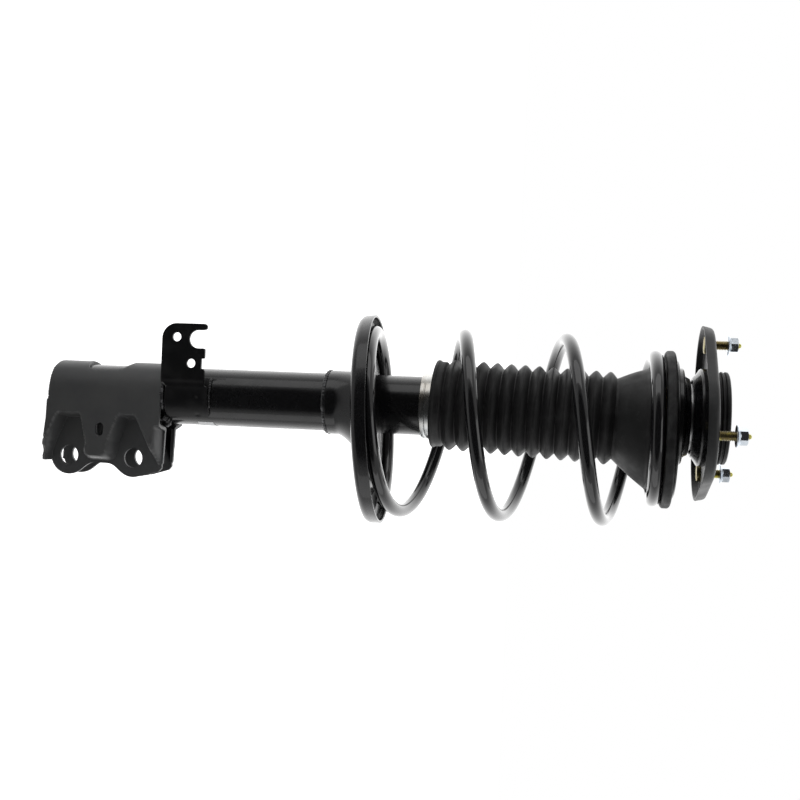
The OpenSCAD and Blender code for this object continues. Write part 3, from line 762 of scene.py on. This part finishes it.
# Turned pieces: name, outline as [radius, height], corner radius, centre x, body, slot, finish, node
CAP_R, CAP_H = 38.5, 12.7
INSULATOR_R = 65.9
TURNED = [
    ("cap_ring", [[31, 0.02], [CAP_R, 0.02], [CAP_R, 4.1], [CAP_R - 1.1, 4.7], [CAP_R - 1.1, 5.5],
                  [CAP_R, 6.1], [CAP_R, 7.5], [CAP_R - 1.1, 8.1], [CAP_R - 1.1, 8.9], [CAP_R, 9.5],
                  [CAP_R - 0.2, CAP_H - 1], [CAP_R - 1.6, CAP_H], [33, CAP_H], [31, CAP_H - 2]], 0.5, 0.0,
     "top_mount", "mount_rubber", "mount_rubber", "mount_cap_ring"),
    ("flared_cup", [[14.1, -2.9], [14.1, -5.8], [38, -5.8], [38.4, -9.6], [35, -12], [32, -14.6],
                    [30.6, -16.4], [33, -16.4], [34.6, -14.4], [37.4, -12.2], [40.2, -10.6], [40.8, -9],
                    [40.8, -2.9]], 1.2, 0.0, "top_mount", "gloss_paint", "gloss_paint", "lower_cup"),
    ("seat_hub", [[7.1, -18], [31.2, -18], [32.2, -18.8], [33.2, -21], [35.4, -22.8], [39.6, -23.6],
                  [40.5, -24.6], [40.5, -30.7], [38.1, -30.7], [38, -26.4], [31, -24], [29.6, -20.5],
                  [7.1, -20.5]], 1.1, 0.0, "rod", "gloss_paint", "gloss_paint", "upper_spring_seat"),
    ("insulator_ring", [[51, -39], [64.0, -39], [INSULATOR_R, -37.4], [INSULATOR_R, -32.6], [64.2, -30.9],
                        [51, -30.9]], 1.0, SPRING_TOP_X,
     "rod", "insulator_rubber", "insulator_rubber", "upper_insulator"),
    ("tube_end_cap", [[TUBE_R + 0.02, -242], [28.1, -242], [28.4, -241.4], [28.4, -238.6], [28.15, -238.2],
                      [28.15, -237.6], [28.4, -237.2], [28.4, -230], [26.6, -227.6], [12, -227.6],
                      [12, -230.8], [TUBE_R + 0.02, -230.8]], 0.8, 0.0,
     "damper_tube", "blue_zinc", "cap_zinc", "tube_cap"),
]


class STRUT_OT_turned_pieces(bpy.types.Operator):
    """Turn the round pieces from their rounded outlines"""
    bl_idname = "strut.turned_pieces"
    bl_label = "Turned pieces"

    def execute(self, context):
        for name, corners, radius, centre, body, slot, finish, node in TURNED:
            points, faces = turned(rounded_outline(corners, radius), 144, centre)
            piece = make_piece(name, points, faces)
            finish_piece(piece, body, slot, finish, node)
        flange = rounded_outline([[38, -30.75], [57.6, -30.75], [57.6, -28.4], [38, -28.4]], 1.0)
        points, faces = turned(flange, 144, 0.0)
        points[..., 0] += SPRING_TOP_X * (np.hypot(points[..., 0], points[..., 1]) - 38) / 20
        piece = make_piece("seat_flange", points, faces)
        finish_piece(piece, "rod", "gloss_paint", "gloss_paint")
        return {"FINISHED"}


# ---- lower spring seat ----

DISH_X, DISH_Z = 13.6, -292.5


def dish_place(r, h, angle):
    """A point of the dish at radius r and height h in its own frame, leant about Y and then about X."""
    x, y, z = r * np.cos(angle), r * np.sin(angle), h + 0 * angle
    lean, roll = -DISH_LEAN_X, -DISH_LEAN_Y
    x, z = x * math.cos(lean) + z * math.sin(lean), -x * math.sin(lean) + z * math.cos(lean)
    y, z = y * math.cos(roll) - z * math.sin(roll), y * math.sin(roll) + z * math.cos(roll)
    return np.stack([x + DISH_X, y, z + DISH_Z], -1)


class STRUT_OT_spring_seat(bpy.types.Operator):
    """Loft the seat from its collar on the tube to the leaning dish with its rolled rim"""
    bl_idname = "strut.spring_seat"
    bl_label = "Lower spring seat"

    def execute(self, context):
        angle = np.linspace(0, TURN, 192, endpoint=False)[None, :]
        inner_r, inner_z = 46.0, 5.4
        dish = rounded_outline(
            [[inner_r, inner_z], [57.6, inner_z], [61.6, -0.9], [84, -0.9], [88.6, 0.6], [90.6, 3.8],
             [90.9, 12.6], [88.6, 12.6], [88.3, 6.2], [86.4, 3.2], [83, 1.7], [63.4, 1.7], [59.4, 8], [46, 8]],
            [0.2, 2.4, 2.4, 3, 2, 2, 0.9, 0.9, 2, 2, 2, 2, 2, 0.2], 6)
        foot_z = -324.6
        collar_z = np.array([foot_z, -324.9, -323, -320, -317.5, -316])
        collar_r = np.full(collar_z.shape, TUBE_R + 2.45)
        collar_r[0] -= 0.6
        outer = circle_points(collar_r[:, None], angle, collar_z[:, None])
        rim = dish_place(dish[:, :1], dish[:, 1:], angle)
        t = np.linspace(0, 1, 12)[1:-1, None, None]
        pull = 16.0
        start_slope = np.array([0, 0, pull])
        height = np.array([[inner_z]])
        end_slope = (dish_place(np.array([[inner_r]]), height, angle)
                     - dish_place(np.array([[inner_r - pull]]), height, angle))
        h00, h10 = 2 * t ** 3 - 3 * t ** 2 + 1, t ** 3 - 2 * t ** 2 + t
        h01, h11 = -2 * t ** 3 + 3 * t ** 2, t ** 3 - t ** 2
        flare = h00 * outer[-1] + h10 * start_slope + h01 * rim[0] + h11 * end_slope
        inner_top = circle_points(TUBE_R + 0.06, angle[0], 0.0)
        inner_top[:, 2] = rim[-1][:, 2].mean() + (inner_top[:, 0] - DISH_X) * math.tan(DISH_LEAN_X)
        inner_top[:, 2] -= inner_top[:, 1] * math.tan(DISH_LEAN_Y)
        s = np.linspace(0, 1, 5)[1:, None, None]
        inward = rim[-1] * (1 - s) + inner_top * s
        inner_foot = inner_top.copy()
        inner_foot[:, 2] = foot_z
        points = np.concatenate([outer, flare, rim, inward, inner_foot[None]])
        faces = grid_quads(points.shape[0], angle.size, True, True).tolist()
        piece = make_piece("seat_dish", points, faces)
        finish_piece(piece, "damper_tube", "gloss_paint", "gloss_paint", "lower_spring_seat", "seat_collar")
        return {"FINISHED"}


# ---- knuckle bracket ----

WRAP_LOW, WRAP_HIGH = -577.0, -472.0
TUBE_GAP = 0.05
LOBE_R = 17.2
EAR = [[-6, WRAP_LOW], [5, WRAP_LOW], [8, -579.4], [24, -579.9], [58, -583.4], [62.6, -583.4], [62.6, -560],
       [60.6, -548], [60.6, -480], [61.6, WRAP_HIGH - 1.6], [28, WRAP_HIGH - 0.4], [-6, WRAP_HIGH]]
HIGH_CORNER = [[50, -512], [60, -475], [65, -474.2], [68.4, -477], [73.4, -493], [74, -505], [62, -516]]
LOW_PAD = [[22, -566.8], [22, -550.4], [45, -545.2], [58, -547], [80, -550], [80, -581], [57.6, -580.2],
           [46, -577.6]]
HIGH_PAD = [[22, -508.4], [22, -498], [64, -476.4], [80, -476.4], [80, -520], [57.6, -518.6], [44, -517]]
HEAD_END = [[31, -474.8], [80, -475.6], [80, -460], [31, -460]]
BETWEEN_PADS = [[60.2, -556], [80, -556], [80, -510], [60.2, -510]]
WINDOW = [[0, -549.6], [4, -549.2], [12, -547.6], [17.6, -545.2], [19.8, -541], [19.8, -517], [17, -512],
          [9, -507.4], [0, -505.6]]


def pressed_depth(x, z):
    """How far a point of an ear's skin is pressed in, from 0 on the raised skin to 1 on a pad: a smooth
    step over the distance to the nearest pad's outline."""
    lobe = LOBE_R - 0.4
    low = np.minimum(polygon_distance(x, z, LOW_PAD), circle_distance(x, z, BOLT_X, BOLT_Z[0], lobe))
    high = np.minimum(polygon_distance(x, z, HIGH_PAD), circle_distance(x, z, BOLT_X, BOLT_Z[1], lobe))
    pads = soft_union(np.minimum(low, high), polygon_distance(x, z, BETWEEN_PADS), 6.0)
    pads = soft_union(pads, polygon_distance(x, z, HEAD_END), 1.5)
    return 1 - ease(pads / sizes().press_slope)


def wrap_quarter():
    """Length along the sheet's middle from the tube's back to where an ear starts."""
    return (TUBE_R + sizes().sheet / 2) * math.pi / 2


def bracket_outline(u, v):
    """Signed distance in the unrolled bracket: u runs round the wrap from the tube's back and then out
    along an ear, and v is the height."""
    quarter = wrap_quarter()
    x = np.abs(u) - quarter
    ear = polygon_distance(x, v, EAR)
    wrap = np.maximum(np.maximum(WRAP_LOW - v, v - WRAP_HIGH), x - 2)
    lobes = soft_union(circle_distance(x, v, BOLT_X, BOLT_Z[0], LOBE_R),
                       circle_distance(x, v, BOLT_X, BOLT_Z[1], LOBE_R), 2.0)
    lobes = np.minimum(lobes, polygon_distance(x, v, HIGH_CORNER))
    bridge = polygon_distance(x, v, [[50, -570], [63.4, -570], [63.4, -495], [50, -495]])
    whole = soft_union(np.minimum(ear, wrap), soft_union(lobes, bridge, 9.0), 1.2)
    half_window = polygon_distance(np.abs(u), v, WINDOW)
    bolts = np.minimum(circle_distance(x, v, BOLT_X, BOLT_Z[0], BOLT_R),
                       circle_distance(x, v, BOLT_X, BOLT_Z[1], BOLT_R))
    slot_half = 2.2
    slot = np.hypot(np.maximum(np.abs(x - 32.4) - slot_half, 0), v + 528.1) - 3.8
    return np.maximum(np.maximum(whole, -half_window), -np.minimum(bolts, slot))


def bracket_place(u, v):
    """Bends the unrolled bracket: an arc of the wrap's middle radius, then two flat ears with the pads
    pressed in towards the knuckle."""
    middle = TUBE_R + TUBE_GAP + sizes().sheet / 2
    quarter = wrap_quarter()
    x_flat = np.abs(u) - quarter
    a = np.clip(u / quarter, -1, 1) * math.pi / 2
    on_ear = x_flat > 0
    pad_y = PAD_OUT - sizes().sheet / 2
    depth = np.zeros_like(u)
    depth[on_ear] = pressed_depth(x_flat[on_ear], v[on_ear])
    x = np.where(on_ear, x_flat, -middle * np.cos(a))
    y = np.where(on_ear, np.sign(u) * (middle - (middle - pad_y) * depth), middle * np.sin(a))
    return np.stack([x, y, v], -1)


def even_walls(piece, points):
    """Evens the points of the pressed walls, where the sheet stands between its two levels."""
    x, y, z = points.T
    raised = TUBE_R + TUBE_GAP + sizes().sheet / 2
    depth = (raised - np.abs(y)) / (raised - PAD_OUT + sizes().sheet / 2)
    inside = -bracket_outline(wrap_quarter() + np.maximum(x, 0), z)
    walls = (x > 1) & (depth > 0.004) & (depth < 0.996) & (inside > 1.2)
    group = piece.vertex_groups.new(name="walls")
    group.add(np.flatnonzero(walls).tolist(), 1.0, "REPLACE")
    smooth = piece.modifiers.new("Even walls", "SMOOTH")
    smooth.factor = 0.5
    smooth.iterations = 8
    smooth.vertex_group = group.name


class STRUT_OT_knuckle_bracket(bpy.types.Operator):
    """Press the knuckle bracket from one sheet, with its window, slot and bolt holes"""
    bl_idname = "strut.knuckle_bracket"
    bl_label = "Knuckle bracket"

    def execute(self, context):
        quarter = wrap_quarter()
        reach = quarter + BOLT_X + LOBE_R + 0.8
        ear_u = np.arange(quarter + 0.68, reach, 0.68)
        wrap_u = np.linspace(-quarter, quarter, 45)
        u = np.concatenate([-ear_u[::-1], wrap_u, ear_u])
        v = np.arange(-584.8, WRAP_HIGH + 1.6, 0.7)
        points, faces = trimmed_sheet(u, v, bracket_place, bracket_outline)
        piece = make_piece("bracket_pressing", points, faces)
        even_walls(piece, points)
        thicken(piece, sizes().sheet, bevel=0.45)
        finish_piece(piece, "damper_tube", "bracket_paint", "bracket_paint", "knuckle_bracket")
        return {"FINISHED"}


# ---- hose bracket ----

CLIP_T = 2.6
CLIP_LEFT, CLIP_RIGHT, CLIP_TOP = -472.6, -432.8, -64.0
CLIP_CORNER_R = 13.5
NOTCH = MOUNTS["hose_notch"]["pos_m"]
CLIP_HOLES = [(MOUNTS[n]["pos_m"][0] / MM, MOUNTS[n]["pos_m"][2] / MM, MOUNTS[n]["dims"]["r_mm"])
              for n in ("hose_clip_hole", "sensor_lead_hole")]


def clip_outline(x, z):
    """Signed distance in the hose bracket's plane: a plate with one large and one small round corner, a
    narrower tab, an open notch, a side nick and two holes."""
    arm_r, arm_z = 2.9, CLIP_RIGHT - 1.4
    plate = polygon_distance(x, z, [
        [CLIP_TOP, CLIP_LEFT + CLIP_CORNER_R], [CLIP_TOP, arm_z], [CLIP_TOP + 2 * arm_r, arm_z],
        [-44, CLIP_RIGHT], [-10, CLIP_RIGHT], [-8, -429.5], [16.4, -428.8], [17.8, -430.2], [17.8, -466],
        [15.6, -468.4], [-8, -468.4], [-12, CLIP_LEFT], [CLIP_TOP + CLIP_CORNER_R, CLIP_LEFT]])
    corner = circle_distance(x, z, CLIP_TOP + CLIP_CORNER_R, CLIP_LEFT + CLIP_CORNER_R, CLIP_CORNER_R)
    arm = circle_distance(x, z, CLIP_TOP + arm_r, arm_z, arm_r)
    whole = np.minimum(np.minimum(plate, corner), arm)
    nx, nz, notch_r = NOTCH[0] / MM, NOTCH[2] / MM, 8.0
    notch = np.minimum(circle_distance(x, z, nx, nz, notch_r),
                       np.maximum(np.abs(x - nx) - notch_r, nz - z))
    nick = np.maximum(np.abs(x + 28.9) - 4.5, -435.8 - z)
    cuts = soft_union(notch, nick, 0.5)
    for hx, hz, r in CLIP_HOLES:
        cuts = np.minimum(cuts, circle_distance(x, z, hx, hz, r))
    return -soft_union(-whole, cuts, 1.4)


def clip_place(x, z):
    """The flat plate eases over a fold into a tab that follows the tube, with two small weld dimples."""
    flat_y = -(TUBE_R + 0.1 + CLIP_T / 2)
    hug_r = TUBE_R + 0.1 + CLIP_T / 2
    hug_y = -np.sqrt(np.maximum(hug_r ** 2 - x ** 2, 1))
    y = flat_y + (hug_y - flat_y) * ease((x + 16) / 9)
    for dx, dz in ((0.5, -440.0), (15.3, -439.0)):
        y = y + 0.8 * ease(1 - np.hypot(x - dx, (z - dz) / 1.5) / 2.2)
    return np.stack([x, y, z], -1)


class STRUT_OT_hose_bracket(bpy.types.Operator):
    """Cut and fold the hose bracket and wrap its tab round the tube"""
    bl_idname = "strut.hose_bracket"
    bl_label = "Hose bracket"

    def execute(self, context):
        x = np.arange(CLIP_TOP - 1, 19, 0.7)
        z = np.arange(CLIP_LEFT - 1, -426, 0.7)
        points, faces = trimmed_sheet(x, z, clip_place, clip_outline)
        piece = make_piece("hose_clip", points, faces)
        thicken(piece, CLIP_T, bevel=0.35)
        finish_piece(piece, "damper_tube", "bracket_paint", "clip_paint", "hose_bracket")
        return {"FINISHED"}


# ---- welds and label ----

def weld_bead(path, radius, ripples, seed):
    """A bead along a path whose radius ripples with the welder's steps and wanders with smooth noise."""
    rng = np.random.default_rng(seed)
    n = len(path)
    t = np.linspace(0, 1, n)
    wander = np.interp(t, np.linspace(0, 1, 24), rng.uniform(0.8, 1.25, 24))
    step = 1 + 0.16 * np.abs(np.sin(math.pi * ripples * t))
    ends = np.sqrt(np.clip(np.minimum(t, 1 - t) * 40, 0.02, 1))
    lumps = 1 + 0.08 * rng.standard_normal((n, 14))
    return swept_tube(path, radius * wander * step * ends, 14, lumps)


def ring_path(r, z, start_deg, end_deg, steps):
    return circle_points(r, np.radians(np.linspace(start_deg, end_deg, steps)), z)


class STRUT_OT_welds(bpy.types.Operator):
    """Lay the weld beads on the tube: bracket, collar and hose tab"""
    bl_idname = "strut.welds"
    bl_label = "Weld beads"

    def execute(self, context):
        middle = TUBE_R + 1.2
        beads = [
            weld_bead(ring_path(middle, WRAP_HIGH + 0.2, 62, 298, 300), 1.7, 46, 1),
            weld_bead(ring_path(middle, WRAP_LOW - 0.2, 70, 290, 240), 1.5, 40, 2),
            weld_bead(ring_path(middle, -325.2, -10, 352, 420), 1.6, 60, 3),
            weld_bead(ring_path(TUBE_R + 0.9, -428.2, 232, 292, 80), 0.9, 14, 4),
        ]
        for side in (-1, 1):
            z = np.linspace(WRAP_LOW + 4, WRAP_HIGH + 0.5, 160)
            x = 10.5 + 0.6 * np.sin(z * 0.9)
            path = np.stack([x, side * np.sqrt(TUBE_R ** 2 - x ** 2) + side * 0.8, z], -1)
            beads.append(weld_bead(path + np.array([1e-4, 0, 0]) * z[:, None], 1.8, 30, 5 + side))
            a = np.linspace(0, 1, 60)
            corner = np.stack([18 + 8 * a, side * (19 - 9 * a), WRAP_HIGH - 1.5 + 3.0 * np.sin(3 * a)], -1)
            beads.append(weld_bead(corner, 3.0, 6, 9 + side))
        piece = make_piece("weld_beads", *joined(beads))
        finish_piece(piece, "damper_tube", "gloss_paint", "weld_metal")
        return {"FINISHED"}


class STRUT_OT_label(bpy.types.Operator):
    """Stick a blank label on the tube"""
    bl_idname = "strut.label"
    bl_label = "Blank label"

    def execute(self, context):
        a = np.radians(np.linspace(-31, 74, 60))[None, :]
        z = np.linspace(-442.3, -427.8, 20)[:, None]
        points = circle_points(TUBE_R + 0.12 + 0 * z, a, z)
        piece = make_piece("tube_label", points, grid_quads(z.size, a.size)[:, ::-1].tolist())
        solid = piece.modifiers.new("Paper", "SOLIDIFY")
        solid.thickness = 0.1 * MM
        finish_piece(piece, "damper_tube", "gloss_paint", "label_paper")
        return {"FINISHED"}


# ---- finishes and stage ----

class STRUT_OT_finishes(bpy.types.Operator):
    """Make the materials and paint the frame's own parts"""
    bl_idname = "strut.finishes"
    bl_label = "Finishes"

    def execute(self, context):
        for name in PALETTE:
            MATERIALS[name] = mixed_finish(name)
        for node, name in KEPT_NODES.items():
            mesh = frame["nodes"][node].data
            mesh.materials.clear()
            mesh.materials.append(MATERIALS[name])
        return {"FINISHED"}


def soft_box(name, place, target, width, height, power):
    """A rectangular area light turned to face a target point."""
    light = bpy.data.lights.new(name, "AREA")
    light.shape = "RECTANGLE"
    light.size = width
    light.size_y = height
    light.energy = power
    lamp = bpy.data.objects.new(name, light)
    lamp.location = place
    bpy.context.scene.collection.objects.link(lamp)
    aim = np.array(target, float) - np.array(place, float)
    z = -aim / np.linalg.norm(aim)
    x = np.cross([0, 0, 1.0], z)
    x /= np.linalg.norm(x)
    y = np.cross(z, x)
    lamp.matrix_world = Matrix([(x[0], y[0], z[0], place[0]), (x[1], y[1], z[1], place[1]),
                                (x[2], y[2], z[2], place[2]), (0, 0, 0, 1)])


class STRUT_OT_stage(bpy.types.Operator):
    """Set up the floor, the soft light and the camera"""
    bl_idname = "strut.stage"
    bl_label = "Stage"

    def execute(self, context):
        scene = bpy.context.scene
        scene.view_settings.view_transform = "Standard"
        floor_z = CAD_BOX[0].z - 0.016
        half = 6.0
        mesh = bpy.data.meshes.new("floor")
        mesh.from_pydata([(-half, -half, floor_z), (half, -half, floor_z), (half, half, floor_z),
                          (-half, half, floor_z)], [], [(0, 1, 2, 3)])
        floor = bpy.data.objects.new("floor", mesh)
        scene.collection.objects.link(floor)
        pale = Finish("floor_pale", (0.9, 0.9, 0.9), 0.9, specular=0.1)
        pale.shader.inputs["Emission Color"].default_value = (1, 1, 1, 1)
        seen_only = pale.tree.nodes.new("ShaderNodeLightPath")
        pale.tree.links.new(seen_only.outputs["Is Camera Ray"], pale.shader.inputs["Emission Strength"])
        mesh.materials.append(pale.material)
        floor.visible_glossy = False

        world = bpy.data.worlds.new("studio")
        scene.world = world
        world.use_nodes = True
        tree = world.node_tree
        seen = tree.nodes["Background"]
        seen.inputs["Color"].default_value = (1, 1, 1, 1)
        seen.inputs["Strength"].default_value = 1.0
        lit = tree.nodes.new("ShaderNodeBackground")
        lit.inputs["Color"].default_value = (1, 1, 1, 1)
        coords = tree.nodes.new("ShaderNodeTexCoord")
        split = tree.nodes.new("ShaderNodeSeparateXYZ")
        tree.links.new(coords.outputs["Generated"], split.inputs["Vector"])
        level = tree.nodes.new("ShaderNodeMapRange")
        level.inputs["From Min"].default_value = -0.74
        level.inputs["From Max"].default_value = -0.56
        level.inputs["To Min"].default_value = 0.02
        level.inputs["To Max"].default_value = 0.34
        tree.links.new(split.outputs["Y"], level.inputs["Value"])
        behind = tree.nodes.new("ShaderNodeMapRange")
        behind.inputs["From Min"].default_value = 0.0
        behind.inputs["From Max"].default_value = 0.7
        behind.inputs["To Max"].default_value = 1.0
        tree.links.new(split.outputs["Y"], behind.inputs["Value"])
        total = tree.nodes.new("ShaderNodeMath")
        tree.links.new(level.outputs["Result"], total.inputs[0])
        tree.links.new(behind.outputs["Result"], total.inputs[1])
        tree.links.new(total.outputs["Value"], lit.inputs["Strength"])
        path = tree.nodes.new("ShaderNodeLightPath")
        mix = tree.nodes.new("ShaderNodeMixShader")
        tree.links.new(path.outputs["Is Camera Ray"], mix.inputs["Fac"])
        tree.links.new(lit.outputs["Background"], mix.inputs[1])
        tree.links.new(seen.outputs["Background"], mix.inputs[2])
        tree.links.new(mix.outputs["Shader"], tree.nodes["World Output"].inputs["Surface"])

        middle = (0, 0, -0.3)
        soft_box("upper_box", (-0.95, -0.35, -0.25), middle, 0.6, 1.3, 1.5)
        soft_box("lower_box", (0.95, -0.25, -0.25), middle, 0.5, 1.3, 1.0)
        soft_box("head_box", (0.1, -0.5, 1.0), middle, 0.8, 0.8, 1.2)

        camera = bpy.data.cameras.new("camera")
        camera.lens = 49.5
        camera.sensor_width = 36.0
        view = bpy.data.objects.new("camera", camera)
        scene.collection.objects.link(view)
        lean = math.radians(10.0)
        roll = math.radians(2.35)
        right = (-math.sin(roll), math.cos(roll) * math.sin(lean), math.cos(roll) * math.cos(lean))
        up = (-math.cos(roll), -math.sin(roll) * math.sin(lean), -math.sin(roll) * math.cos(lean))
        back = (0.0, -math.cos(lean), math.sin(lean))
        place = (-0.00436, -0.9460, -0.0959)
        view.matrix_world = Matrix([(right[i], up[i], back[i], place[i]) for i in range(3)] + [(0, 0, 0, 1)])
        scene.camera = view
        return {"FINISHED"}


OPERATORS = [STRUT_OT_finishes, STRUT_OT_spring, STRUT_OT_boot, STRUT_OT_mount_plate, STRUT_OT_studs,
             STRUT_OT_stud_nuts, STRUT_OT_turned_pieces, STRUT_OT_spring_seat, STRUT_OT_knuckle_bracket,
             STRUT_OT_hose_bracket, STRUT_OT_welds, STRUT_OT_label, STRUT_OT_stage]


class STRUT_PT_panel(bpy.types.Panel):
    """Lists the strut's sizes, colours and pieces"""
    bl_idname = "STRUT_PT_panel"
    bl_label = "Strut"
    bl_space_type = "VIEW_3D"
    bl_region_type = "UI"
    bl_category = "Strut"

    def draw(self, context):
        for group in (context.scene.strut_sizes, context.scene.strut_finishes):
            for name in group.__annotations__:
                self.layout.prop(group, name)
        for operator in OPERATORS:
            self.layout.operator(operator.bl_idname)


CLASSES = [StrutSizes, StrutFinishes, *OPERATORS, STRUT_PT_panel]


def register():
    for cls in CLASSES:
        bpy.utils.register_class(cls)
    bpy.types.Scene.strut_sizes = bpy.props.PointerProperty(type=StrutSizes)
    bpy.types.Scene.strut_finishes = bpy.props.PointerProperty(type=StrutFinishes)


def unregister():
    del bpy.types.Scene.strut_finishes
    del bpy.types.Scene.strut_sizes
    for cls in reversed(CLASSES):
        bpy.utils.unregister_class(cls)


def main():
    register()
    for operator in OPERATORS:
        group, name = operator.bl_idname.split(".")
        getattr(getattr(bpy.ops, group), name)()


if __name__ == "__main__":
    main()
